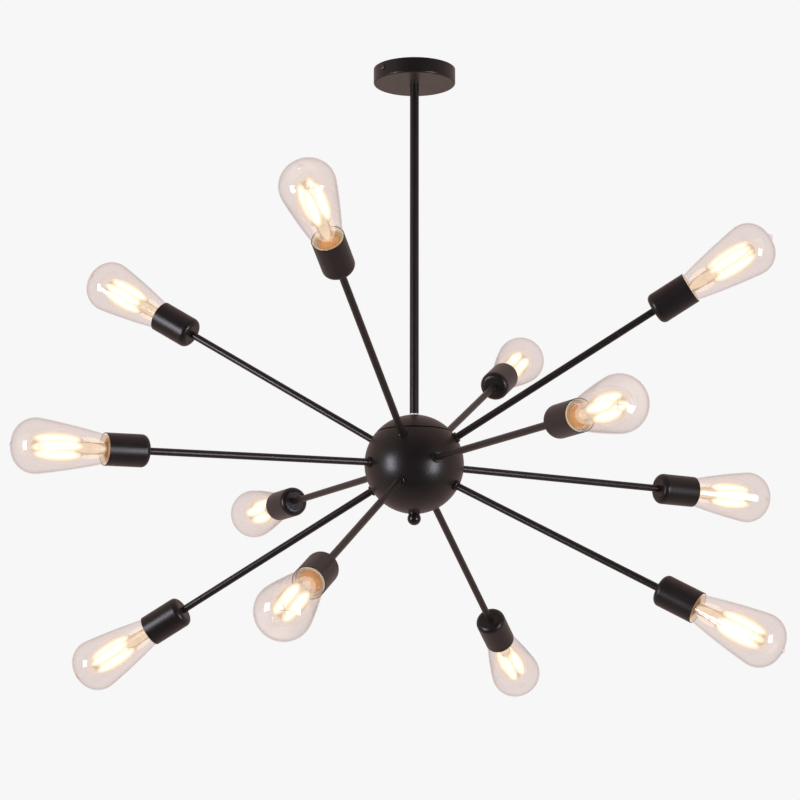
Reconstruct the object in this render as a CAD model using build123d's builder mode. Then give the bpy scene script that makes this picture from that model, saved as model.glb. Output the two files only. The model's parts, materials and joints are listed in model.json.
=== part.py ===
from build123d import *

import os
from math import cos, radians, sin, sqrt

# Sputnik chandelier for twelve lamps, in millimetres.
# The origin is the middle of the ceiling face, +Z up. The lamp hangs below it on one rod.

# ---------------------------------------------------------------- driving dimensions

# canopy, and the strap bracket that carries it
canopy_dia = 101.0
canopy_height = 19.0
canopy_wall = 1.2
canopy_edge_r = 2.0
bracket_width = 18.0
bracket_thick = 2.0
bracket_bend_r = 1.0
bracket_ear_drop = 14.0
bracket_wire_hole_dia = 14.0
slot_spacing = 62.0
slot_length = 20.0
slot_width = 5.0
side_screw_dia = 4.0
side_screw_length = 9.0
side_screw_drop = 7.5
side_screw_head_dia = 6.5
side_screw_head_height = 2.2
side_screw_head_r = 1.2
side_screw_slot_width = 1.0
side_screw_slot_depth = 0.8

# rod, and the nut on its threaded top
rod_dia = 11.0
rod_bore_dia = 8.2
rod_length = 415.0
rod_thread_dia = 10.0
rod_thread_length = 8.5
rod_nut_width = 17.0
rod_nut_height = 5.0

# ball: a bowl with a cap, clamped on the centre pipe by the finial
ball_dia = 120.0
ball_wall = 1.5
ball_seam_rise = 38.6
ball_seam_chamfer = 1.0
cap_lip_height = 4.0
cap_lip_wall = 1.5
pipe_dia = 8.0
pipe_bore_dia = 5.6
pipe_in_rod = 14.0
pipe_in_finial = 9.0
pipe_window_width = 4.0
pipe_window_height = 12.0
pipe_ring_height = 2.0
finial_dia = 16.2
finial_neck_dia = 13.2
finial_flange_dia = 15.0
finial_flange_height = 1.4
finial_neck_height = 0.6

# arms: where each points, as degrees of turn about the rod from +X and of rise above level
upper_arms = [(-146.5, 30.0), (-59.0, 29.3), (29.8, 26.2), (121.5, 31.5)]
level_arms = [(-103.4, -0.7), (-13.9, -0.9), (76.9, 0.2), (166.0, -1.7)]
lower_arms = [(-149.2, -27.8), (-60.5, -28.3), (31.0, -27.0), (120.4, -28.8)]
arm_length = 283.0
arm_dia = 8.6
arm_bore_dia = 5.4
arm_inside_ball = 10.0
arm_spigot_dia = 7.0
arm_spigot_in_holder = 8.0
collar_dia = 13.0
collar_length = 3.0
collar_chamfer = 0.5
arm_nut_width = 13.0
arm_nut_height = 4.0

# socket cups on the arms' ends, and the lampholders in them
cup_dia = 38.2
cup_length = 51.0
cup_wall = 1.2
cup_corner_r = 7.0
holder_dia = 34.2
holder_floor = 4.5
holder_setback = 5.0
holder_edge_r = 1.5
shell_bore_dia = 27.0
shell_wall = 0.5
shell_length = 21.0
tongue_dia = 8.0
tongue_height = 2.5

# bulbs
bulb_length = 143.5
bulb_dia = 64.0
bulb_dome_r = 27.0
bulb_dome_below = 8.0
bulb_tip_dia = 7.6
bulb_tip_height = 3.6
glass_wall = 0.9
glass_neck_dia = 24.0
glass_neck_in_cap = 5.0
glass_shoulder_dia = 34.4
glass_shoulder_rise = 4.5
cap_length = 27.0
cap_dia = 25.6
cap_rim_dia = 26.4
cap_rim_length = 3.0
cap_wall = 0.6
cap_edge_r = 1.0
insulator_height = 3.0
insulator_dia = 12.0
contact_height = 1.0
contact_dia = 9.0
stem_dia = 15.0
stem_rise = 38.5
stem_top_dia = 9.0
stem_flare_rise = 10.0
stem_shoulder_rise = 5.0
stem_bend_r = 2.0
post_dia = 3.2
filament_count = 4
filament_dia = 2.0
filament_length = 42.0
filament_ring_dia = 18.0
spoke_thick = 0.8

# wiring
lead_dia = 3.6
supply_dia = 4.6
splice_dia = 26.0
splice_height = 40.0
splice_edge_r = 4.0

# clearances
screw_clearance = 0.2
thread_clearance = 0.1
seat_clearance = 0.02
holder_clearance = 0.1
contact_clearance = 0.3
post_clearance = 0.1
bracket_clearance = 0.2
seat_margin = 0.5

# ---------------------------------------------------------------- derived places

ball_r = ball_dia / 2
ball_inner_r = ball_r - ball_wall
cap_seat_r = rod_dia / 2 + seat_margin
ball_top_flat = sqrt(ball_r**2 - cap_seat_r**2)
finial_seat_r = finial_flange_dia / 2 + seat_margin
ball_bottom_flat = sqrt(ball_r**2 - finial_seat_r**2)

rod_top = -canopy_height
rod_bottom = rod_top - rod_length
ball_z = rod_bottom - pipe_ring_height - ball_top_flat
ball_centre = Vector(0, 0, ball_z)
seam_z = ball_z + ball_seam_rise
cap_lip_r = sqrt(ball_inner_r**2 - ball_seam_rise**2) - screw_clearance
pipe_top = rod_bottom + pipe_in_rod
pipe_bottom = ball_z - ball_bottom_flat - pipe_in_finial
finial_top = ball_z - ball_bottom_flat
knob_top_cut = sqrt((finial_dia / 2) ** 2 - (finial_neck_dia / 2) ** 2)
knob_z = finial_top - finial_flange_height - finial_neck_height - knob_top_cut

canopy_inner_r = canopy_dia / 2 - canopy_wall
ear_outer_x = sqrt(canopy_inner_r**2 - (bracket_width / 2) ** 2) - bracket_clearance

cup_back = ball_r + arm_length
cup_front = cup_back + cup_length
cup_floor = cup_back + cup_wall
arm_start = ball_r - arm_inside_ball
arm_nut_corner_r = arm_nut_width / 2 / cos(radians(30))
arm_nut_seat = sqrt(ball_inner_r**2 - arm_nut_corner_r**2) - seat_clearance
holder_back = cup_floor + arm_nut_height
spigot_end = holder_back + arm_spigot_in_holder
holder_face = spigot_end + holder_floor
holder_front = cup_front - holder_setback
holder_bore_dia = shell_bore_dia + 2 * shell_wall + 2 * holder_clearance

bulb_back = holder_face + tongue_height + contact_clearance
cap_front = bulb_back + cap_length
cap_back = bulb_back + contact_height + insulator_height
stem_top = cap_front + stem_rise
filament_back = stem_top + seat_clearance + spoke_thick
filament_front = filament_back + filament_length
spoke_start_r = post_dia / 2 + post_clearance
spoke_end_r = (filament_ring_dia + spoke_thick) / 2

neck_r = glass_neck_dia / 2
neck_back = cap_front - glass_neck_in_cap
tip_r = bulb_tip_dia / 2
dome_offset = bulb_dia / 2 - bulb_dome_r
dome_middle = bulb_back + bulb_length - bulb_tip_height - bulb_dome_r
dome_top = dome_middle + bulb_dome_r


def arm_plane(turn, rise):
    """Plane across an arm at the ball's middle: its normal runs out along the arm."""
    level = Vector(cos(radians(turn)), sin(radians(turn)), 0)
    side = Vector(-sin(radians(turn)), cos(radians(turn)), 0)
    outward = level * cos(radians(rise)) + Vector(0, 0, 1) * sin(radians(rise))
    return Plane(origin=ball_centre, x_dir=side, z_dir=outward)


arm_planes = [arm_plane(turn, rise) for turn, rise in upper_arms + level_arms + lower_arms]

os.makedirs("parts", exist_ok=True)


def keep(piece, label):
    """Label a finished piece and write its file."""
    piece.label = label
    export_step(piece, f"parts/{label}.step")


# ---------------------------------------------------------------- canopy and bracket

with BuildPart() as canopy:
    with BuildSketch(Plane.XY.offset(-canopy_height)):
        Circle(canopy_dia / 2)
    extrude(amount=canopy_height)
    fillet(canopy.edges().group_by(Axis.Z)[0], canopy_edge_r)
    offset(amount=-canopy_wall, openings=canopy.faces().sort_by(Axis.Z)[-1])
    with BuildSketch(Plane.XY.offset(-canopy_height)):
        Circle(rod_thread_dia / 2 + thread_clearance)
    extrude(amount=canopy_wall, mode=Mode.SUBTRACT)
    with BuildSketch(Plane.YZ):
        with Locations((0, -side_screw_drop)):
            Circle(side_screw_dia / 2 + screw_clearance)
    extrude(amount=canopy_dia, both=True, mode=Mode.SUBTRACT)
keep(canopy.part, "canopy")

ear_inner_x = ear_outer_x - bracket_thick

with BuildPart() as ceiling_bracket:
    with BuildSketch(Plane.XZ) as strap:
        with BuildLine():
            Polyline(
                (-ear_outer_x, -bracket_ear_drop),
                (-ear_outer_x, 0),
                (ear_outer_x, 0),
                (ear_outer_x, -bracket_ear_drop),
                (ear_inner_x, -bracket_ear_drop),
                (ear_inner_x, -bracket_thick),
                (-ear_inner_x, -bracket_thick),
                (-ear_inner_x, -bracket_ear_drop),
                close=True,
            )
        make_face()
        fillet(strap.vertices().group_by(Axis.Y)[-1], bracket_bend_r + bracket_thick)
        fillet(strap.vertices().group_by(Axis.Y)[-2], bracket_bend_r)
    extrude(amount=bracket_width / 2, both=True)
    with BuildSketch(Plane.XY):
        Circle(bracket_wire_hole_dia / 2)
        with Locations((-slot_spacing / 2, 0), (slot_spacing / 2, 0)):
            SlotOverall(slot_length, slot_width)
    extrude(amount=-bracket_thick, mode=Mode.SUBTRACT)
    with BuildSketch(Plane.YZ):
        with Locations((0, -side_screw_drop)):
            Circle(side_screw_dia / 2 + thread_clearance)
    extrude(amount=canopy_dia, both=True, mode=Mode.SUBTRACT)
keep(ceiling_bracket.part, "ceiling_bracket")

with BuildPart() as canopy_screws:
    with BuildSketch(Plane.YZ.offset(canopy_dia / 2)):
        with Locations((0, -side_screw_drop)):
            Circle(side_screw_head_dia / 2)
    extrude(amount=side_screw_head_height)
    fillet(canopy_screws.edges().group_by(Axis.X)[-1], side_screw_head_r)
    with BuildSketch(Plane.YZ.offset(canopy_dia / 2 + side_screw_head_height)):
        with Locations((0, -side_screw_drop)):
            Rectangle(side_screw_head_dia, side_screw_slot_width)
    extrude(amount=-side_screw_slot_depth, mode=Mode.SUBTRACT)
    with BuildSketch(Plane.YZ.offset(canopy_dia / 2)):
        with Locations((0, -side_screw_drop)):
            Circle(side_screw_dia / 2)
    extrude(amount=-side_screw_length)
    mirror(about=Plane.YZ)
keep(canopy_screws.part, "canopy_screws")

# ---------------------------------------------------------------- rod, ball and finial

with BuildPart() as down_rod:
    with BuildSketch(Plane.XY.offset(rod_bottom)):
        Circle(rod_dia / 2)
    extrude(amount=rod_length)
    with BuildSketch(Plane.XY.offset(rod_top)):
        Circle(rod_thread_dia / 2)
    extrude(amount=rod_thread_length)
    with BuildSketch(Plane.XY.offset(rod_bottom)):
        Circle(rod_bore_dia / 2)
    extrude(amount=rod_length + rod_thread_length, mode=Mode.SUBTRACT)
keep(down_rod.part, "down_rod")

with BuildPart() as ball_bowl:
    with Locations(ball_centre):
        Sphere(ball_r)
        Sphere(ball_inner_r, mode=Mode.SUBTRACT)
    split(bisect_by=Plane.XY.offset(seam_z), keep=Keep.BOTTOM)
    split(bisect_by=Plane.XY.offset(ball_z - ball_bottom_flat), keep=Keep.TOP)
    bowl_rim = ball_bowl.edges().filter_by(GeomType.CIRCLE).group_by(Axis.Z)[-1]
    chamfer(bowl_rim.sort_by(SortBy.RADIUS)[-1], ball_seam_chamfer)
    with BuildSketch(Plane.XY.offset(ball_z - ball_r)):
        Circle(pipe_dia / 2 + thread_clearance)
    extrude(amount=ball_r, mode=Mode.SUBTRACT)
    for plane in arm_planes:
        with BuildSketch(plane):
            Circle(arm_dia / 2 + thread_clearance)
        extrude(amount=ball_dia, mode=Mode.SUBTRACT)
keep(ball_bowl.part, "ball_bowl")

with BuildPart() as ball_cap:
    with Locations(ball_centre):
        Sphere(ball_r)
        Sphere(ball_inner_r, mode=Mode.SUBTRACT)
    split(bisect_by=Plane.XY.offset(seam_z), keep=Keep.TOP)
    split(bisect_by=Plane.XY.offset(ball_z + ball_top_flat), keep=Keep.BOTTOM)
    cap_rim = ball_cap.edges().filter_by(GeomType.CIRCLE).group_by(Axis.Z)[0]
    chamfer(cap_rim.sort_by(SortBy.RADIUS)[-1], ball_seam_chamfer)
    with BuildSketch(Plane.XY.offset(seam_z - cap_lip_height)):
        Circle(cap_lip_r)
        Circle(cap_lip_r - cap_lip_wall, mode=Mode.SUBTRACT)
    extrude(amount=cap_lip_height + cap_lip_wall)
    with BuildSketch(Plane.XY.offset(ball_z)):
        Circle(pipe_dia / 2 + thread_clearance)
    extrude(amount=ball_r, mode=Mode.SUBTRACT)
keep(ball_cap.part, "ball_cap")

with BuildPart() as centre_pipe:
    with BuildSketch(Plane.XY.offset(pipe_bottom)):
        Circle(pipe_dia / 2)
    extrude(amount=pipe_top - pipe_bottom)
    with BuildSketch(Plane.XY.offset(rod_bottom)):
        Circle(rod_dia / 2)
    extrude(amount=-pipe_ring_height)
    with BuildSketch(Plane.XY.offset(pipe_bottom)):
        Circle(pipe_bore_dia / 2)
    extrude(amount=pipe_top - pipe_bottom, mode=Mode.SUBTRACT)
    with BuildSketch(Plane.YZ):
        with Locations((0, ball_z)):
            SlotOverall(pipe_window_height, pipe_window_width, rotation=90)
    extrude(amount=pipe_dia, mode=Mode.SUBTRACT)
keep(centre_pipe.part, "centre_pipe")

with BuildPart() as finial:
    with BuildSketch(Plane.XY.offset(finial_top)):
        Circle(finial_flange_dia / 2)
    extrude(amount=-finial_flange_height)
    chamfer(finial.edges().group_by(Axis.Z)[0], finial_flange_height / 2)
    with BuildSketch(Plane.XY.offset(finial_top)):
        Circle(finial_neck_dia / 2)
    extrude(amount=knob_z - finial_top)
    with Locations((0, 0, knob_z)):
        Sphere(finial_dia / 2)
    split(bisect_by=Plane.XY.offset(finial_top), keep=Keep.BOTTOM)
    with BuildSketch(Plane.XY.offset(finial_top)):
        Circle(pipe_dia / 2 + thread_clearance)
    extrude(amount=-pipe_in_finial - seat_clearance, mode=Mode.SUBTRACT)
keep(finial.part, "finial")

# ---------------------------------------------------------------- pieces of one arm
# Each is made once, with the ball's middle at the origin and the arm along +Z.

with BuildPart() as arm_tube:
    with BuildSketch(Plane.XY.offset(arm_start)):
        Circle(arm_dia / 2)
    extrude(amount=cup_back - arm_start)
    with BuildSketch(Plane.XY.offset(cup_back)):
        Circle(arm_spigot_dia / 2)
    extrude(amount=spigot_end - cup_back)
    with BuildSketch(Plane.XY.offset(arm_start)):
        Circle(arm_bore_dia / 2)
    extrude(amount=spigot_end - arm_start, mode=Mode.SUBTRACT)

with BuildPart() as arm_collar:
    with BuildSketch(Plane.XY.offset(arm_start)):
        Circle(collar_dia / 2)
    extrude(amount=ball_r + collar_length - arm_start)
    chamfer(arm_collar.edges().group_by(Axis.Z)[-1], collar_chamfer)
    with BuildSketch(Plane.XY.offset(arm_start)):
        Circle(arm_dia / 2 + thread_clearance)
    extrude(amount=ball_r, mode=Mode.SUBTRACT)
    Sphere(ball_r + seat_clearance, mode=Mode.SUBTRACT)

with BuildPart() as ball_nut:
    with BuildSketch(Plane.XY.offset(arm_nut_seat)):
        RegularPolygon(arm_nut_width / 2, 6, major_radius=False)
        Circle(arm_dia / 2 + thread_clearance, mode=Mode.SUBTRACT)
    extrude(amount=-arm_nut_height)

with BuildPart() as cup_nut:
    with BuildSketch(Plane.XY.offset(cup_floor)):
        RegularPolygon(arm_nut_width / 2, 6, major_radius=False)
        Circle(arm_spigot_dia / 2 + thread_clearance, mode=Mode.SUBTRACT)
    extrude(amount=arm_nut_height)

with BuildPart() as socket_cup:
    with BuildSketch(Plane.XY.offset(cup_back)):
        Circle(cup_dia / 2)
    extrude(amount=cup_length)
    fillet(socket_cup.edges().group_by(Axis.Z)[0], cup_corner_r)
    offset(amount=-cup_wall, openings=socket_cup.faces().sort_by(Axis.Z)[-1])
    with BuildSketch(Plane.XY.offset(cup_back)):
        Circle(arm_spigot_dia / 2 + thread_clearance)
    extrude(amount=cup_wall, mode=Mode.SUBTRACT)

# lampholder: a bore at the back for the arm's spigot, a well at the front for the bulb
with BuildPart() as holder_body:
    with BuildSketch(Plane.XY.offset(holder_back)):
        Circle(holder_dia / 2)
    extrude(amount=holder_front - holder_back)
    fillet(holder_body.edges().group_by(Axis.Z)[0], holder_edge_r)
    with BuildSketch(Plane.XY.offset(holder_back)):
        Circle(arm_spigot_dia / 2 + thread_clearance)
    extrude(amount=arm_spigot_in_holder + seat_clearance, mode=Mode.SUBTRACT)
    with BuildSketch(Plane.XY.offset(holder_face)):
        Circle(holder_bore_dia / 2)
    extrude(amount=cup_length, mode=Mode.SUBTRACT)

with BuildPart() as screw_shell:
    with BuildSketch(Plane.XY.offset(holder_front)):
        Circle(shell_bore_dia / 2 + shell_wall)
        Circle(shell_bore_dia / 2, mode=Mode.SUBTRACT)
    extrude(amount=-shell_length)

with BuildPart() as contact_tongue:
    with BuildSketch(Plane.XY.offset(holder_face)):
        Circle(tongue_dia / 2)
    extrude(amount=tongue_height)

# ---------------------------------------------------------------- pieces of one bulb

with BuildPart() as bulb_glass:
    with BuildSketch(Plane.XZ):
        with BuildLine():
            tip = ThreePointArc(
                (0, dome_top + bulb_tip_height),
                (tip_r * 0.75, dome_top + bulb_tip_height * 0.7),
                (tip_r, dome_top + dome_offset - tip_r),
            )
            RadiusArc(tip @ 1, (dome_offset, dome_top), dome_offset - tip_r)
            dome = CenterArc((dome_offset, dome_middle), bulb_dome_r, 90, -90 - bulb_dome_below)
            shoulder_point = (glass_shoulder_dia / 2, cap_front + glass_shoulder_rise)
            flank = TangentArc(dome @ 1, shoulder_point, tangent=dome % 1)
            shoulder = TangentArc(flank @ 1, (neck_r, cap_front), tangent=flank % 1)
            Line(shoulder @ 1, (neck_r, neck_back))
            offset(amount=glass_wall, side=Side.RIGHT)
        make_face()
    revolve(axis=Axis.Z)
    # stem: a flared tube sealed in the neck, pressed to a flat top that carries a post
    with BuildSketch(Plane.XZ):
        with BuildLine():
            FilletPolyline(
                (0, stem_top),
                (stem_top_dia / 2, stem_top),
                (stem_dia / 2, stem_top - stem_shoulder_rise),
                (stem_dia / 2, neck_back + stem_flare_rise),
                (neck_r - glass_wall / 2, neck_back),
                radius=stem_bend_r,
            )
            offset(amount=glass_wall, side=Side.RIGHT)
        make_face()
    revolve(axis=Axis.Z)
    with BuildSketch(Plane.XY.offset(filament_front - seat_clearance)):
        Circle(post_dia / 2)
    extrude(amount=stem_top - glass_wall / 2 - filament_front)

with BuildPart() as cap_shell:
    with BuildSketch(Plane.XY.offset(cap_back)):
        Circle(cap_dia / 2)
    extrude(amount=cap_front - cap_back)
    with BuildSketch(Plane.XY.offset(cap_front)):
        Circle(cap_rim_dia / 2)
    extrude(amount=-cap_rim_length)
    fillet(cap_shell.edges().group_by(Axis.Z)[0], cap_edge_r)
    with BuildSketch(Plane.XY.offset(cap_back + cap_wall)):
        Circle(cap_dia / 2 - cap_wall)
    extrude(amount=cap_length, mode=Mode.SUBTRACT)

with BuildPart() as cap_insulator:
    with BuildSketch(Plane.XY.offset(cap_back)):
        Circle(cap_dia / 2 - cap_edge_r)
    with BuildSketch(Plane.XY.offset(cap_back - insulator_height)):
        Circle(insulator_dia / 2)
    loft()

with BuildPart() as centre_contact:
    with BuildSketch(Plane.XY.offset(bulb_back)):
        Circle(contact_dia / 2)
    extrude(amount=contact_height)
    chamfer(centre_contact.edges().group_by(Axis.Z)[0], contact_height / 2)

# filaments in a ring, held by spokes on the stem's top and by a star on the post's end
with BuildPart() as filament_mount:
    with BuildSketch(Plane.XY.offset(filament_back)):
        with PolarLocations(filament_ring_dia / 2, filament_count):
            Circle(filament_dia / 2)
    extrude(amount=filament_length)
    with BuildSketch(Plane.XY.offset(filament_front)):
        with PolarLocations(spoke_end_r / 2, filament_count):
            Rectangle(spoke_end_r, spoke_thick)
    extrude(amount=spoke_thick)
    with BuildSketch(Plane.XY.offset(filament_back)):
        with PolarLocations((spoke_start_r + spoke_end_r) / 2, filament_count):
            Rectangle(spoke_end_r - spoke_start_r, spoke_thick)
    extrude(amount=-spoke_thick)

# ---------------------------------------------------------------- copies on the arms


def on_arm(plane, pieces):
    """Copies of pieces, moved from the +Z arm to the arm of this plane."""
    return [plane.location * piece.part for piece in pieces]


for number, plane in enumerate(arm_planes, start=1):
    bulb_base = on_arm(plane, [cap_shell, cap_insulator, centre_contact, filament_mount])
    keep(on_arm(plane, [arm_tube])[0], f"arm_tube_{number:02d}")
    keep(on_arm(plane, [socket_cup])[0], f"socket_cup_{number:02d}")
    keep(on_arm(plane, [bulb_glass])[0], f"bulb_glass_{number:02d}")
    keep(Compound(children=bulb_base), f"bulb_base_{number:02d}")

with BuildPart() as rod_nut:
    with BuildSketch(Plane.XY.offset(rod_top + canopy_wall)):
        RegularPolygon(rod_nut_width / 2, 6, major_radius=False)
        Circle(rod_thread_dia / 2 + thread_clearance, mode=Mode.SUBTRACT)
    extrude(amount=rod_nut_height)

collars = []
nuts = [rod_nut.part]
holders = []
for plane in arm_planes:
    collars += on_arm(plane, [arm_collar])
    nuts += on_arm(plane, [ball_nut, cup_nut])
    holders += on_arm(plane, [holder_body, screw_shell, contact_tongue])
keep(Compound(children=collars), "arm_collars")
keep(Compound(children=nuts), "lock_nuts")
keep(Compound(children=holders), "lampholders")

# ---------------------------------------------------------------- wiring

with BuildPart() as wiring_loom:
    with BuildSketch(Plane.XY.offset(ball_z - splice_height / 2)):
        Circle(splice_dia / 2)
    extrude(amount=splice_height)
    fillet(wiring_loom.edges().filter_by(GeomType.CIRCLE), splice_edge_r)
    for plane in arm_planes:
        with BuildSketch(plane):
            Circle(lead_dia / 2)
        extrude(amount=spigot_end)
    with BuildSketch(Plane.XY.offset(ball_z - splice_height / 2)):
        Circle(pipe_dia / 2 + thread_clearance)
    extrude(amount=splice_height, mode=Mode.SUBTRACT)
    with BuildSketch(Plane.XY.offset(ball_z - supply_dia / 2)):
        Circle(supply_dia / 2)
    extrude(amount=supply_dia / 2 - ball_z)
    with BuildSketch(Plane.YZ):
        with Locations((0, ball_z)):
            Circle(pipe_window_width / 2 - thread_clearance)
    extrude(amount=pipe_dia)
keep(wiring_loom.part, "wiring_loom")
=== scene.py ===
"""Sputnik chandelier: finishes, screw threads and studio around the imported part."""

import json
import math
from collections import namedtuple

import bmesh
import bpy
from bpy.props import FloatProperty, FloatVectorProperty, IntProperty, PointerProperty
from mathutils import Matrix, Vector


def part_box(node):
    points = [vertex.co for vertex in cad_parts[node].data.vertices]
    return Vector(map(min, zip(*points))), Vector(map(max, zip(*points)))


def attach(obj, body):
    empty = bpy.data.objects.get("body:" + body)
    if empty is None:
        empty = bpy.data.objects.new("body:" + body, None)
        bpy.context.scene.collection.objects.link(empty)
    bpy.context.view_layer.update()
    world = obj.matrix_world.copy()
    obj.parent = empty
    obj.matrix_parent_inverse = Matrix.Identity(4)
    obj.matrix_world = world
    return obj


bl_info = {
    "name": "Sputnik chandelier",
    "version": (1, 0, 0),
    "blender": (4, 5, 0),
    "location": "View3D > Sidebar > Chandelier",
    "description": "Finishes a twelve-lamp chandelier and lights it in a plain studio",
    "category": "Object",
}

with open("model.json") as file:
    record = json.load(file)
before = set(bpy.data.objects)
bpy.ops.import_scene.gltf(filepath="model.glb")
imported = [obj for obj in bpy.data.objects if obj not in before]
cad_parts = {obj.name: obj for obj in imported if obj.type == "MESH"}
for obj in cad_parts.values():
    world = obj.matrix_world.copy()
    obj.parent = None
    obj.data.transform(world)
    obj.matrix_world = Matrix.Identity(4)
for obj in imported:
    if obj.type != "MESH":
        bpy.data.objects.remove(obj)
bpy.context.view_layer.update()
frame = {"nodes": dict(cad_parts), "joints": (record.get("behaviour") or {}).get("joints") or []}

BULBS = [f"{number:02d}" for number in range(1, 13)]
SEAM_RISE = 0.0386
BALL_CENTRE = Vector((0, 0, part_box("ball_bowl")[1].z - SEAM_RISE))
AXES = {j["child"][-2:]: Vector(j["axis"]).normalized() for j in frame["joints"]}

# distances out from the middle of the ball, along an arm
HOLDER_FACE = 0.3607
CONTACT_FRONT = 0.3645
CAP_BACK = 0.3675
CAP_FRONT = 0.3905
WIRES_BACK = CAP_FRONT + 0.005
CUP_FRONT = 0.394
FILAMENT_BACK = 0.42982
FILAMENT_FRONT = 0.47182
FILAMENT_END = 0.0015

# radii round an arm's axis
CAP_BORE_RADIUS = 0.0126
SHELL_RADIUS = 0.01405
STEM_RADIUS = 0.0085
CUP_INNER_RADIUS = 0.0181

# half the width of the painted shade on the ball's seam, how deep cups and lampholders are lit in
# their mouths, the share of that light on a lampholder, and how near brass comes to a lampholder's
# face
SEAM_REACH = 0.0008
CUP_LIT_DEPTH = 0.007
HOLDER_LIT_DEPTH = 0.0055
HOLDER_LIT_SHARE = 0.6
FACE_GAP = 0.0001

# screw threads: where they start and how often they go round, the ridge's half width as a share of
# the pitch, its sides, and how many heights deep its ends sink
HOLDER_THREAD_BACK = 0.3705
HOLDER_THREAD_TURNS = 4.5
CAP_THREAD_BACK = 0.3705
CAP_THREAD_TURNS = 4.0
RIDGE_SHARE = 0.28
RIDGE_SIDES = 8
RIDGE_SINK = 2

# filaments: how many, and the radius of the ring they stand in
FILAMENTS = 4
FILAMENT_RING = 0.009

# layers of the glare round a bulb's filaments: half length and radius, how far each lies towards
# the cap and off the arm's axis, the share of what is behind that it covers, and its light's
# strength and colour
Layer = namedtuple("Layer", "half_length radius back off_axis cover strength tone")
GLARE = (
    Layer(0.0410, 0.0235, 0.0, 0.0, 0.10, 1.0, (1.0, 0.78, 0.68)),
    Layer(0.0210, 0.0125, 0.038, 0.0, 0.20, 1.5, (1.0, 0.80, 0.60)),
    Layer(0.0200, 0.0060, 0.038, 0.0, 0.40, 1.3, (1.0, 0.80, 0.58)),
    Layer(0.0350, 0.0185, 0.0, 0.0, 0.20, 1.1, (1.0, 0.78, 0.60)),
    Layer(0.0310, 0.0155, 0.0, 0.0, 0.26, 1.2, (1.0, 0.82, 0.58)),
    Layer(0.0280, 0.0070, 0.0, FILAMENT_RING, 0.50, 1.5, (1.0, 0.92, 0.62)),
    Layer(0.0245, 0.0046, 0.0, FILAMENT_RING, 0.94, 2.4, (1.0, 1.0, 0.96)),
)
GLARE_AROUND = 20
GLARE_ALONG = 12

# glass: powers by which tint and shine gather at the edge, and the shine's share there and face on
TINT_POWER = 4.0
SHINE_POWER = 5.0
SHINE_FACE_ON = 0.035
SHINE_EDGE_ON = 0.25

# darkest and lightest mottling of paint, and darkest of plating, as shares of their colour
PAINT_DARK = 0.75
PAINT_LIGHT = 1.25
PLATING_DARK = 0.86

# studio: kinds of ray that the backdrop tells apart, where its far side begins, and the floor
RAYS = ("Camera", "Glossy", "Transmission")
FAR_SIDE = 0.4
FLOOR_SIZE = 40.0
FLOOR_CELLS = 8
FLOOR_GLOW = 0.75

# softboxes: degrees to the right of the camera and above level, and what both share
LEFT_SIDE, LEFT_RISE = -56, -4
RIGHT_SIDE, RIGHT_RISE = 47, -10
SOFTBOX_DISTANCE = 2.6
SOFTBOX_SIZE = (0.8, 1.2)
SOFTBOX_TINT = (0.91, 0.90, 1.0)

# the photograph's view: where the camera stands, and which way it looks
CAMERA_PLACE = (-2.0568, -2.4244, -1.0234)
CAMERA_HEADING = math.radians(-40.0)
CAMERA_PITCH = math.radians(10.8)
CAMERA_ROLL = math.radians(0.1)
LONG_SIDE = 800
SENSOR = 36.0
FOCAL_PIXELS = 2673.42
CLIP_START = 0.1
CLIP_END = 50.0


# ------------------------------------------------------------------ settings


def colour(name, description, default):
    """A colour setting, as linear red, green and blue."""
    return FloatVectorProperty(
        name=name, description=description, subtype="COLOR", size=3, min=0, max=1,
        default=default,
    )


class ChandelierFinish(bpy.types.PropertyGroup):
    """Colours and surface qualities of the chandelier."""

    paint: colour(
        "Paint", "Satin black paint, warm brown where light grazes it", (0.0082, 0.0050, 0.0047)
    )
    # painted shade: near-black colour laid along the ball's seam in place of the shadow in the
    # joint
    painted_seam_shade: colour("Painted seam shade", "Dark line where the ball's halves meet", (0.002, 0.0012, 0.001))
    paint_roughness: FloatProperty(
        name="Paint roughness", description="Spread of its shine", default=0.33, min=0, max=1
    )
    knob_roughness: FloatProperty(
        name="Knob roughness", description="The same on the finial", default=0.17, min=0, max=1
    )
    plate: colour("Plating", "Bright zinc and nickel plating", (0.90, 0.90, 0.91))
    screws: colour("Screws", "Dark nickel on the canopy's screws", (0.13, 0.12, 0.13))
    brass: colour("Brass", "Bulb caps", (0.84, 0.64, 0.30))
    tarnish: colour("Tarnish", "Brass where it has dulled", (0.74, 0.52, 0.24))
    solder: colour("Solder", "Contact on a bulb's end", (0.46, 0.46, 0.48))
    insulator: colour("Insulator", "Black glass round the contact", (0.012, 0.012, 0.014))
    wires: colour("Wires", "Nickel wires that hold the filaments", (0.70, 0.68, 0.64))
    filament: colour("Filament", "Coating of the filaments", (0.9, 0.75, 0.35))
    moulding: colour("Moulding", "Black moulded lampholder", (0.022, 0.021, 0.021))
    sheath: colour("Lead sheath", "Plastic sheath of the wires", (0.030, 0.030, 0.032))
    sheath_pale: colour("Pale sheath", "Paler waves in the sheath", (0.045, 0.044, 0.044))
    glass: colour("Glass", "Tint that one face of bulb glass gives", (0.972, 0.944, 0.934))
    glass_edge: colour("Glass edge", "Tint where the glass is seen edge on", (0.88, 0.85, 0.845))
    stem_glass: colour("Stem glass", "Clearer glass of the stem", (0.985, 0.98, 0.975))
    glow: colour("Glow", "Colour of the lit filaments", (1.0, 0.78, 0.48))
    lit_brass: colour("Lit brass", "Light of the filaments inside a cap", (0.030, 0.020, 0.010))
    lit_mouth: colour("Lit mouth", "Light of the filaments in a cup's mouth", (0.80, 0.66, 0.50))
    glow_strength: FloatProperty(
        name="Glow strength", description="Brightness of the lit filaments", default=8.0, min=0
    )


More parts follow.
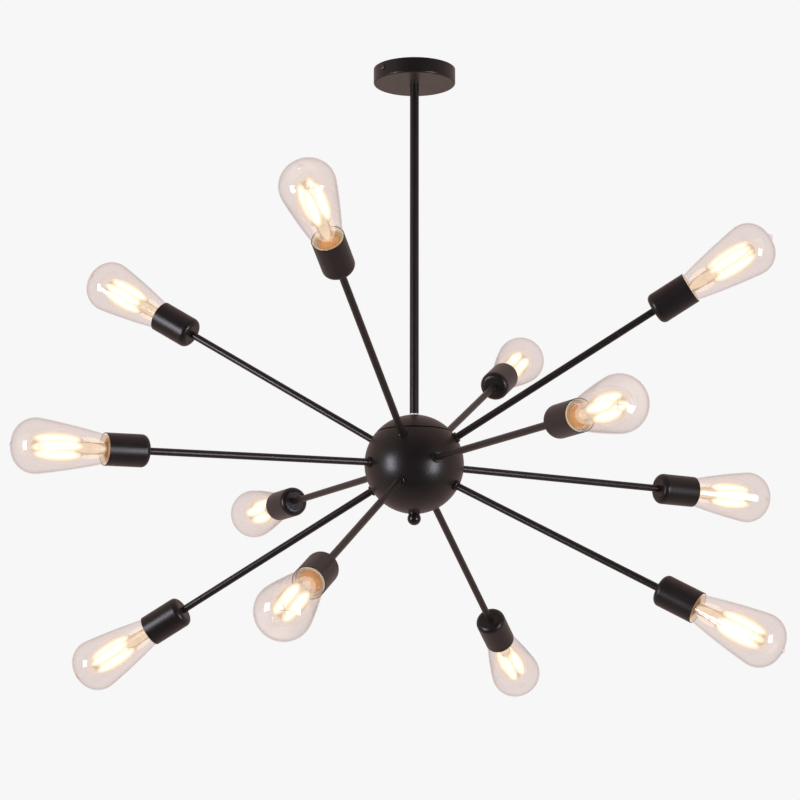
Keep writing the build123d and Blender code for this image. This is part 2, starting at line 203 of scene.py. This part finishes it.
class ChandelierThreads(bpy.types.PropertyGroup):
    """Sizes of the screw threads on bulb caps and in lampholders."""

    pitch: FloatProperty(
        name="Pitch", description="Rise of the thread in one turn", default=0.0036, unit="LENGTH"
    )
    cap_radius: FloatProperty(
        name="Cap radius", description="Radius of the plain bulb cap", default=0.0128, unit="LENGTH"
    )
    bore_radius: FloatProperty(
        name="Bore radius",
        description="Radius of the lampholder's shell",
        default=0.0135,
        unit="LENGTH",
    )
    height: FloatProperty(
        name="Height", description="How far the thread stands proud", default=0.0003, unit="LENGTH"
    )
    steps: IntProperty(
        name="Steps", description="Steps of the thread in one turn", default=30, min=8
    )


class ChandelierStudio(bpy.types.PropertyGroup):
    """Sizes and levels of the studio."""

    backdrop: FloatProperty(
        name="Backdrop", description="Level of the pale background", default=0.93, min=0, max=1
    )
    fill: FloatProperty(
        name="Fill", description="Level of the even light from all round", default=0.8, min=0
    )
    near_gloss: colour("Near gloss", "What gloss shows on the camera's side", (0.010, 0.018, 0.026))
    far_gloss: colour("Far gloss", "What gloss shows on the far side", (0.50, 0.38, 0.35))
    floor_drop: FloatProperty(
        name="Floor drop", description="Height of the room", default=2.4, unit="LENGTH"
    )
    left_power: FloatProperty(
        name="Left power", description="Watts of the left softbox", default=33.0, min=0
    )
    right_power: FloatProperty(
        name="Right power", description="Watts of the right softbox", default=30.5, min=0
    )


# ------------------------------------------------------------------ materials


class Wire:
    """A shader socket that can be added, multiplied and so on as a number."""

    def __init__(self, shade, socket):
        self.shade = shade
        self.socket = socket

    def math(self, operation, *others):
        return self.shade.add(
            "ShaderNodeMath", {"operation": operation}, dict(enumerate((self, *others)))
        )

    def __add__(self, other):
        return self.math("ADD", other)

    __radd__ = __add__

    def __sub__(self, other):
        return self.math("SUBTRACT", other)

    def __rsub__(self, other):
        return self.shade.add("ShaderNodeMath", {"operation": "SUBTRACT"}, {0: other, 1: self})

    def __mul__(self, other):
        return self.math("MULTIPLY", other)

    def __pow__(self, other):
        return self.math("POWER", other)

    def __gt__(self, other):
        return self.math("GREATER_THAN", other)

    def __lt__(self, other):
        return self.math("LESS_THAN", other)


class Shade:
    """One material under construction, or the world."""

    def __init__(self, name, world=False):
        self.owner = (bpy.data.worlds if world else bpy.data.materials).new(name)
        self.owner.use_nodes = True
        self.tree = self.owner.node_tree
        self.tree.nodes.clear()

    def add(self, kind, settings=None, inputs=None, output=0):
        """A node of this kind, with its settings and its sockets' values or links."""
        node = self.tree.nodes.new(kind)
        for name, value in (settings or {}).items():
            setattr(node, name, value)
        for name, value in (inputs or {}).items():
            socket = node.inputs[name]
            if isinstance(value, Wire):
                self.tree.links.new(value.socket, socket)
            elif socket.type == "RGBA":
                socket.default_value = (*value, 1)
            else:
                socket.default_value = value
        return Wire(self, node.outputs[output])

    def place(self):
        """Where on the piece, in its own frame."""
        return self.add("ShaderNodeTexCoord", output="Object")

    def noise(self, scale, detail):
        """Grey noise from 0 to 1; scale is in waves per metre."""
        return self.add(
            "ShaderNodeTexNoise",
            inputs={"Vector": self.place(), "Scale": scale, "Detail": detail},
        )

    def mix(self, factor, first, second):
        """One colour where factor is 0, the other where it is 1."""
        return self.add(
            "ShaderNodeMix",
            {"data_type": "RGBA"},
            {"Factor": factor, 6: first, 7: second},
            output=2,
        )

    def bump(self, height, distance, strength):
        """Fine relief for the Normal socket; distance is in metres."""
        return self.add(
            "ShaderNodeBump",
            inputs={"Height": height, "Distance": distance, "Strength": strength},
        )

    def from_ball(self):
        """Distance from the middle of the ball, in metres."""
        return self.add(
            "ShaderNodeVectorMath",
            {"operation": "DISTANCE"},
            {0: self.place(), 1: tuple(BALL_CENTRE)},
            output="Value",
        )

    def along_arm(self):
        """Distance out along whichever arm is nearest, in metres."""
        offset = self.add(
            "ShaderNodeVectorMath",
            {"operation": "SUBTRACT"},
            {0: self.place(), 1: tuple(BALL_CENTRE)},
        )
        farthest = None
        for axis in AXES.values():
            reach = self.add(
                "ShaderNodeVectorMath",
                {"operation": "DOT_PRODUCT"},
                {0: offset, 1: tuple(axis)},
                output="Value",
            )
            farthest = reach if farthest is None else farthest.math("MAXIMUM", reach)
        return farthest

    def off_axis(self, reach):
        """Distance from the axis of the nearest arm, in metres."""
        out = self.from_ball()
        return (out * out - reach * reach).math("MAXIMUM", 0.0).math("SQRT")

    def principled(self, **inputs):
        """The main shader; words in a socket's name are joined by underscores."""
        sockets = {name.replace("_", " "): value for name, value in inputs.items()}
        return self.add("ShaderNodeBsdfPrincipled", inputs=sockets)

    def finish(self, shader, kind="ShaderNodeOutputMaterial"):
        """Ends the nodes in this shader, and gives what they belong to."""
        end = self.tree.nodes.new(kind)
        self.tree.links.new(shader.socket, end.inputs["Surface"])
        return self.owner


def between(value, low, high):
    """1 where value lies between low and high, 0 elsewhere."""
    return (value > low) * (value < high)


def dimmed(tone, share):
    """This colour at a share of its brightness."""
    return tuple(level * share for level in tone)


def satin_paint(shade, finish, roughness, **lit):
    """Black powder coat: faint mottling, fine orange peel and a brown bloom at grazing angles."""
    mottle = shade.noise(scale=35.0, detail=3.0)
    peel = shade.noise(scale=1400.0, detail=2.0)
    return shade.principled(
        Base_Color=shade.mix(
            mottle,
            dimmed(finish.paint, PAINT_DARK),
            dimmed(finish.paint, PAINT_LIGHT),
        ),
        Roughness=roughness + (mottle - 0.5) * 0.08 + (peel - 0.5) * 0.06,
        Sheen_Weight=0.06,
        Sheen_Roughness=0.5,
        Sheen_Tint=(0.62, 0.40, 0.34),
        Normal=shade.bump(peel, distance=0.00002, strength=0.6),
        **lit,
    )


def frame_paint(finish):
    """The paint of the canopy, rod and arms."""
    shade = Shade("black_paint")
    return shade.finish(satin_paint(shade, finish, finish.paint_roughness))


def knob_paint(finish):
    """The finial's glossier paint."""
    shade = Shade("knob_paint")
    return shade.finish(satin_paint(shade, finish, finish.knob_roughness))


def ball_paint(finish):
    """The paint of the ball, with a line of painted shade where its two halves meet."""
    shade = Shade("ball_paint")
    height = shade.add("ShaderNodeSeparateXYZ", inputs={"Vector": shade.place()}, output="Z")
    # painted shade: a matt, near-black band along the seam stands in for the shadow in the joint
    seam = BALL_CENTRE.z + SEAM_RISE
    painted_seam_shade = shade.principled(
        Base_Color=tuple(finish.painted_seam_shade), Roughness=1.0, Specular_IOR_Level=0.0
    )
    return shade.finish(
        shade.add(
            "ShaderNodeMixShader",
            inputs={
                "Fac": between(height, seam - SEAM_REACH, seam + SEAM_REACH),
                1: satin_paint(shade, finish, finish.paint_roughness),
                2: painted_seam_shade,
            },
        )
    )


def cup_paint(finish):
    """The paint of the cups; inside their mouths it is lit by the filaments."""
    shade = Shade("cup_paint")
    reach = shade.along_arm()
    mouth = (shade.off_axis(reach) < CUP_INNER_RADIUS) * (reach > CUP_FRONT - CUP_LIT_DEPTH)
    return shade.finish(
        satin_paint(
            shade, finish, finish.paint_roughness,
            Emission_Color=shade.mix(mouth, (0, 0, 0), tuple(finish.lit_mouth)),
            Emission_Strength=1.0,
        )
    )


def plating(name, tone, metallic):
    """Plating with faint polishing marks."""
    shade = Shade(name)
    marks = shade.noise(scale=900.0, detail=4.0)
    return shade.finish(
        shade.principled(
            Base_Color=shade.mix(marks, dimmed(tone, PLATING_DARK), tuple(tone)),
            Metallic=metallic,
            Roughness=0.22 + marks * 0.12,
        )
    )


def drawn_brass(shade, finish):
    """Colour and roughness of drawn brass, a little tarnished."""
    dulled = shade.noise(scale=90.0, detail=3.0)
    return shade.mix(dulled, tuple(finish.brass), tuple(finish.tarnish)), 0.25 + dulled * 0.16


def brass_sheet(name, finish):
    """Drawn brass for the screw threads."""
    shade = Shade(name)
    brass, roughness = drawn_brass(shade, finish)
    return shade.finish(shade.principled(Base_Color=brass, Metallic=0.5, Roughness=roughness))


def bulb_foot(finish):
    """Contact, black glass, brass cap, nickel wires and lit filaments, told apart by reach."""
    shade = Shade("bulb_foot")
    reach = shade.along_arm()
    brass, roughness = drawn_brass(shade, finish)
    insulator = between(reach, CONTACT_FRONT, CAP_BACK)
    inside = (shade.off_axis(reach) < CAP_BORE_RADIUS) * between(reach, CAP_BACK, WIRES_BACK)
    lit = between(reach, FILAMENT_BACK + FILAMENT_END, FILAMENT_FRONT - FILAMENT_END)
    metal = shade.mix(reach > WIRES_BACK, brass, tuple(finish.wires))
    metal = shade.mix(reach < CONTACT_FRONT, metal, tuple(finish.solder))
    base = shade.mix(insulator, metal, tuple(finish.insulator))
    return shade.finish(
        shade.principled(
            Base_Color=shade.mix(lit, base, tuple(finish.filament)),
            Metallic=(1.0 - insulator) * (1.0 - lit) * 0.4,
            Roughness=roughness,
            Emission_Color=shade.mix(
                lit, shade.mix(inside, (0, 0, 0), tuple(finish.lit_brass)), tuple(finish.glow)
            ),
            Emission_Strength=finish.glow_strength,
        )
    )


def bulb_glass(finish):
    """Clear blown glass: a mirror where light grazes it, and a faint smoky tint elsewhere."""
    shade = Shade("clear_glass")
    grazing = shade.add("ShaderNodeLayerWeight", inputs={"Blend": 0.5}, output="Facing")
    face_on = shade.add("ShaderNodeBsdfTransparent", inputs={"Color": tuple(finish.glass)})
    edge_on = shade.add("ShaderNodeBsdfTransparent", inputs={"Color": tuple(finish.glass_edge)})
    wall = shade.add(
        "ShaderNodeMixShader", inputs={"Fac": grazing ** TINT_POWER, 1: face_on, 2: edge_on}
    )
    clear = shade.add("ShaderNodeBsdfTransparent", inputs={"Color": tuple(finish.stem_glass)})
    reach = shade.along_arm()
    stem = (shade.off_axis(reach) < STEM_RADIUS) * (reach < FILAMENT_BACK)
    passed = shade.add("ShaderNodeMixShader", inputs={"Fac": stem, 1: wall, 2: clear})
    shine = shade.principled(Base_Color=(1, 1, 1), Metallic=1.0, Roughness=0.03)
    share = SHINE_FACE_ON + grazing ** SHINE_POWER * SHINE_EDGE_ON
    return shade.finish(
        shade.add("ShaderNodeMixShader", inputs={"Fac": share, 1: passed, 2: shine})
    )


def glare(number, layer):
    """One layer of the glare round the filaments: thin light that covers what is behind it."""
    shade = Shade(f"glare_{number}")
    shine = shade.principled(
        Base_Color=(0, 0, 0), Roughness=1.0, Specular_IOR_Level=0.0,
        Emission_Color=layer.tone, Emission_Strength=layer.strength,
    )
    clear = shade.add("ShaderNodeBsdfTransparent")
    haze = shade.finish(
        shade.add("ShaderNodeMixShader", inputs={"Fac": layer.cover, 1: clear, 2: shine})
    )
    haze.cycles.emission_sampling = "NONE"
    return haze


def lampholder(finish):
    """Black moulding, with a brass shell and contact inside it."""
    shade = Shade("lampholder")
    reach = shade.along_arm()
    shell = (shade.off_axis(reach) < SHELL_RADIUS) * (reach > HOLDER_FACE + FACE_GAP)
    grain = shade.noise(scale=700.0, detail=3.0)
    return shade.finish(
        shade.principled(
            Base_Color=shade.mix(shell, tuple(finish.moulding), tuple(finish.brass)),
            Metallic=shell * 0.6,
            Roughness=0.42 - shell * 0.15 + (grain - 0.5) * 0.1,
            Emission_Color=shade.mix(
                reach > CUP_FRONT - HOLDER_LIT_DEPTH,
                (0, 0, 0),
                dimmed(finish.lit_mouth, HOLDER_LIT_SHARE),
            ),
            Emission_Strength=1.0,
            Normal=shade.bump(grain, distance=0.00002, strength=0.5),
        )
    )


def lead_sheath(finish):
    """Plastic sheath with the slight waviness of drawn cable."""
    shade = Shade("lead_sheath")
    wave = shade.noise(scale=500.0, detail=2.0)
    return shade.finish(
        shade.principled(
            Base_Color=shade.mix(wave, tuple(finish.sheath), tuple(finish.sheath_pale)),
            Roughness=0.45 + wave * 0.1,
            Normal=shade.bump(wave, distance=0.00005, strength=0.5),
        )
    )


def dress(material, *nodes):
    """Gives CAD nodes this material."""
    for name in nodes:
        slots = frame["nodes"][name].data.materials
        slots.clear()
        slots.append(material)


# ------------------------------------------------------------------ pieces


def numbered(stem):
    """The names of the twelve nodes that share a stem."""
    return [f"{stem}_{number}" for number in BULBS]


def arm_turn(axis):
    """Turn that stands Z along an arm and keeps X level, to its side."""
    side = Vector((0, 0, 1)).cross(axis).normalized()
    return Matrix((side, axis.cross(side), axis)).transposed().to_4x4()


def ridge(name, axis, start, turns, radius, threads, sink):
    """Screw thread as a ridge wound round an arm's axis; its ends sink into the wall."""
    mesh = bmesh.new()
    loop = bmesh.ops.create_circle(mesh, segments=RIDGE_SIDES, radius=1.0)["verts"]
    shape = Matrix.Diagonal((threads.height, threads.pitch * RIDGE_SHARE, 1, 1))
    upright = Matrix.Rotation(math.radians(90), 4, "X")
    bmesh.ops.transform(
        mesh, verts=loop, matrix=Matrix.Translation((radius, 0, start)) @ upright @ shape
    )
    steps = round(threads.steps * turns)
    bmesh.ops.spin(
        mesh,
        geom=mesh.edges[:],
        axis=(0, 0, 1),
        dvec=(0, 0, threads.pitch / threads.steps),
        angle=math.tau * steps / threads.steps,
        steps=steps,
    )
    mesh.verts.ensure_lookup_table()
    for ring in (mesh.verts[:RIDGE_SIDES], mesh.verts[-RIDGE_SIDES:]):
        middle = sum((v.co for v in ring), Vector()) / RIDGE_SIDES
        outward = Vector((middle.x, middle.y, 0)).normalized()
        bmesh.ops.translate(mesh, verts=ring, vec=outward * sink)
    bmesh.ops.holes_fill(mesh, edges=[e for e in mesh.edges if e.is_boundary])
    bmesh.ops.recalc_face_normals(mesh, faces=mesh.faces)
    bmesh.ops.transform(
        mesh, verts=mesh.verts, matrix=Matrix.Translation(BALL_CENTRE) @ arm_turn(axis)
    )
    return new_piece(name, mesh)


def glare_shells(name, axis):
    """Nested egg-shaped shells round a bulb's filaments, one material slot a layer."""
    mesh = bmesh.new()
    for number, layer in enumerate(GLARE):
        shape = Matrix.Diagonal((layer.radius, layer.radius, layer.half_length, 1))
        offset = Matrix.Translation((layer.off_axis, 0, -layer.back))
        for turn in range(FILAMENTS if layer.off_axis else 1):
            swing = Matrix.Rotation(math.tau * turn / FILAMENTS, 4, "Z")
            made = bmesh.ops.create_uvsphere(
                mesh, u_segments=GLARE_AROUND, v_segments=GLARE_ALONG, radius=1.0,
                matrix=swing @ offset @ shape,
            )
            for face in {face for vert in made["verts"] for face in vert.link_faces}:
                face.material_index = number
    middle = BALL_CENTRE + axis * (FILAMENT_BACK + FILAMENT_FRONT) / 2
    bmesh.ops.transform(mesh, verts=mesh.verts, matrix=Matrix.Translation(middle) @ arm_turn(axis))
    return new_piece(name, mesh)


def new_piece(name, mesh):
    """A smooth object from this bmesh, with its place in its mesh."""
    for face in mesh.faces:
        face.smooth = True
    data = bpy.data.meshes.new(name)
    mesh.to_mesh(data)
    mesh.free()
    piece = bpy.data.objects.new(name, data)
    bpy.context.scene.collection.objects.link(piece)
    return piece


class CHANDELIER_OT_frame_paint(bpy.types.Operator):
    """Paint the canopy, rod, ball, arms and cups satin black"""

    bl_idname = "chandelier.frame_paint"
    bl_label = "Paint the frame"

    def execute(self, context):
        finish = context.scene.chandelier_finish
        dress(frame_paint(finish), "canopy", "down_rod", "arm_collars", *numbered("arm_tube"))
        dress(ball_paint(finish), "ball_bowl", "ball_cap")
        dress(cup_paint(finish), *numbered("socket_cup"))
        dress(knob_paint(finish), "finial")
        return {"FINISHED"}


class CHANDELIER_OT_fasteners(bpy.types.Operator):
    """Plate the bracket, screws, nuts and centre pipe"""

    bl_idname = "chandelier.fasteners"
    bl_label = "Plate the fasteners"

    def execute(self, context):
        finish = context.scene.chandelier_finish
        bright = plating("plated_steel", finish.plate, metallic=0.4)
        dress(bright, "ceiling_bracket", "lock_nuts", "centre_pipe")
        dress(plating("dark_plating", finish.screws, metallic=0.9), "canopy_screws")
        return {"FINISHED"}


class CHANDELIER_OT_wiring(bpy.types.Operator):
    """Sheathe the leads and the splice"""

    bl_idname = "chandelier.wiring"
    bl_label = "Sheathe the wiring"

    def execute(self, context):
        dress(lead_sheath(context.scene.chandelier_finish), "wiring_loom")
        return {"FINISHED"}


class CHANDELIER_OT_lampholders(bpy.types.Operator):
    """Finish the lampholders and wind the threads in their shells"""

    bl_idname = "chandelier.lampholders"
    bl_label = "Finish the lampholders"

    def execute(self, context):
        scene = context.scene
        threads = scene.chandelier_threads
        dress(lampholder(scene.chandelier_finish), "lampholders")
        brass = brass_sheet("shell_brass", scene.chandelier_finish)
        for number, axis in AXES.items():
            thread = ridge(
                f"holder_thread_{number}", axis, HOLDER_THREAD_BACK, HOLDER_THREAD_TURNS,
                threads.bore_radius, threads, threads.height * RIDGE_SINK,
            )
            thread.data.materials.append(brass)
            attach(thread, "fixture")
        return {"FINISHED"}


class CHANDELIER_OT_bulbs(bpy.types.Operator):
    """Finish the bulbs and wind the threads on their caps"""

    bl_idname = "chandelier.bulbs"
    bl_label = "Finish the bulbs"

    def execute(self, context):
        scene = context.scene
        finish = scene.chandelier_finish
        threads = scene.chandelier_threads
        dress(bulb_glass(finish), *numbered("bulb_glass"))
        dress(bulb_foot(finish), *numbered("bulb_base"))
        brass = brass_sheet("cap_brass", finish)
        haze = [glare(number, layer) for number, layer in enumerate(GLARE)]
        for number, axis in AXES.items():
            thread = ridge(
                f"cap_thread_{number}", axis, CAP_THREAD_BACK, CAP_THREAD_TURNS,
                threads.cap_radius, threads, -threads.height * RIDGE_SINK,
            )
            thread.data.materials.append(brass)
            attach(thread, f"bulb_{number}")
            light = glare_shells(f"glare_{number}", axis)
            for material in haze:
                light.data.materials.append(material)
            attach(light, f"bulb_{number}")
        return {"FINISHED"}


# ------------------------------------------------------------------ studio


def camera_turn():
    """Which way the camera faces, as a matrix."""
    return (
        Matrix.Rotation(CAMERA_HEADING, 4, "Z")
        @ Matrix.Rotation(math.radians(90) + CAMERA_PITCH, 4, "X")
        @ Matrix.Rotation(CAMERA_ROLL, 4, "Z")
    )


def softbox(name, side, rise, power):
    """Area lamp aimed at the ball, from degrees to the right of the camera and above level."""
    data = bpy.data.lights.new(name, "AREA")
    data.shape = "RECTANGLE"
    data.size, data.size_y = SOFTBOX_SIZE
    data.energy = power
    data.color = SOFTBOX_TINT
    lamp = bpy.data.objects.new(name, data)
    bpy.context.scene.collection.objects.link(lamp)
    turn = Matrix.Rotation(CAMERA_HEADING + math.radians(side), 3, "Z")
    level = turn @ Vector((0, -1, 0))
    direction = level * math.cos(math.radians(rise)) + Vector((0, 0, math.sin(math.radians(rise))))
    lamp.location = BALL_CENTRE + direction * SOFTBOX_DISTANCE
    lamp.rotation_euler = direction.to_track_quat("Z", "Y").to_euler()
    lamp.visible_camera = False


def pale(name, level):
    """Plain pale surface that shows the backdrop's level to the camera and keeps shadows."""
    shade = Shade(name)
    matt = shade.principled(Base_Color=(level, level, level), Roughness=0.9)
    glow = shade.add("ShaderNodeEmission", inputs={"Color": (level, level, level)})
    seen = shade.add("ShaderNodeLightPath", output="Is Camera Ray")
    return shade.finish(
        shade.add("ShaderNodeMixShader", inputs={"Fac": seen * FLOOR_GLOW, 1: matt, 2: glow})
    )


def backdrop(studio):
    """World: pale wherever it is seen, dim on the camera's side where it is only reflected."""
    shade = Shade("studio", world=True)
    path = {kind: shade.add("ShaderNodeLightPath", output=f"Is {kind} Ray") for kind in RAYS}
    ahead = camera_turn() @ Vector((0, 0, -1))
    away = shade.add(
        "ShaderNodeVectorMath",
        {"operation": "DOT_PRODUCT"},
        {0: shade.add("ShaderNodeTexCoord", output="Generated"), 1: tuple(ahead)},
        output="Value",
    )
    lift = shade.add(
        "ShaderNodeMapRange",
        {"interpolation_type": "SMOOTHSTEP"},
        {"Value": away, "From Min": -1.0, "From Max": FAR_SIDE},
    )
    tone = shade.mix(lift, tuple(studio.near_gloss), tuple(studio.far_gloss))
    seen = path["Camera"].math("MAXIMUM", path["Transmission"])
    grey = (studio.backdrop,) * 3
    lit = shade.mix(path["Glossy"], (studio.fill,) * 3, tone)
    ground = shade.add("ShaderNodeBackground", inputs={"Color": shade.mix(seen, lit, grey)})
    bpy.context.scene.world = shade.finish(ground, "ShaderNodeOutputWorld")


class CHANDELIER_OT_studio(bpy.types.Operator):
    """Set up the floor, backdrop, softboxes and camera"""

    bl_idname = "chandelier.studio"
    bl_label = "Set up the studio"

    def execute(self, context):
        scene = context.scene
        studio = scene.chandelier_studio
        scene.view_settings.view_transform = "Standard"
        backdrop(studio)
        mesh = bmesh.new()
        bmesh.ops.create_grid(
            mesh, x_segments=FLOOR_CELLS, y_segments=FLOOR_CELLS, size=FLOOR_SIZE
        )
        bmesh.ops.translate(mesh, verts=mesh.verts, vec=(0, 0, -studio.floor_drop))
        floor = new_piece("floor", mesh)
        floor.data.materials.append(pale("floor", studio.backdrop))
        floor.visible_glossy = False
        softbox("left_softbox", LEFT_SIDE, LEFT_RISE, studio.left_power)
        softbox("right_softbox", RIGHT_SIDE, RIGHT_RISE, studio.right_power)
        data = bpy.data.cameras.new("camera")
        data.sensor_width = SENSOR
        data.lens = FOCAL_PIXELS / LONG_SIDE * SENSOR
        data.clip_start, data.clip_end = CLIP_START, CLIP_END
        camera = bpy.data.objects.new("camera", data)
        scene.collection.objects.link(camera)
        camera.matrix_world = Matrix.Translation(CAMERA_PLACE) @ camera_turn()
        scene.camera = camera
        return {"FINISHED"}


class CHANDELIER_PT_panel(bpy.types.Panel):
    """Steps that dress the chandelier"""

    bl_idname = "CHANDELIER_PT_panel"
    bl_label = "Chandelier"
    bl_space_type = "VIEW_3D"
    bl_region_type = "UI"
    bl_category = "Chandelier"

    def draw(self, context):
        for step in STEPS:
            self.layout.operator(step.bl_idname)
        for group in (
            context.scene.chandelier_finish,
            context.scene.chandelier_threads,
            context.scene.chandelier_studio,
        ):
            box = self.layout.box()
            for setting in group.bl_rna.properties:
                if setting.identifier not in ("rna_type", "name"):
                    box.prop(group, setting.identifier)


SETTINGS = (ChandelierFinish, ChandelierThreads, ChandelierStudio)
STEPS = (
    CHANDELIER_OT_frame_paint,
    CHANDELIER_OT_fasteners,
    CHANDELIER_OT_wiring,
    CHANDELIER_OT_lampholders,
    CHANDELIER_OT_bulbs,
    CHANDELIER_OT_studio,
)


def register():
    for kind in (*SETTINGS, *STEPS, CHANDELIER_PT_panel):
        bpy.utils.register_class(kind)
    bpy.types.Scene.chandelier_finish = PointerProperty(type=ChandelierFinish)
    bpy.types.Scene.chandelier_threads = PointerProperty(type=ChandelierThreads)
    bpy.types.Scene.chandelier_studio = PointerProperty(type=ChandelierStudio)


def unregister():
    del bpy.types.Scene.chandelier_studio
    del bpy.types.Scene.chandelier_threads
    del bpy.types.Scene.chandelier_finish
    for kind in reversed((*SETTINGS, *STEPS, CHANDELIER_PT_panel)):
        bpy.utils.unregister_class(kind)


def main():
    register()
    bpy.ops.chandelier.frame_paint()
    bpy.ops.chandelier.fasteners()
    bpy.ops.chandelier.wiring()
    bpy.ops.chandelier.lampholders()
    bpy.ops.chandelier.bulbs()
    bpy.ops.chandelier.studio()


if __name__ == "__main__":
    main()
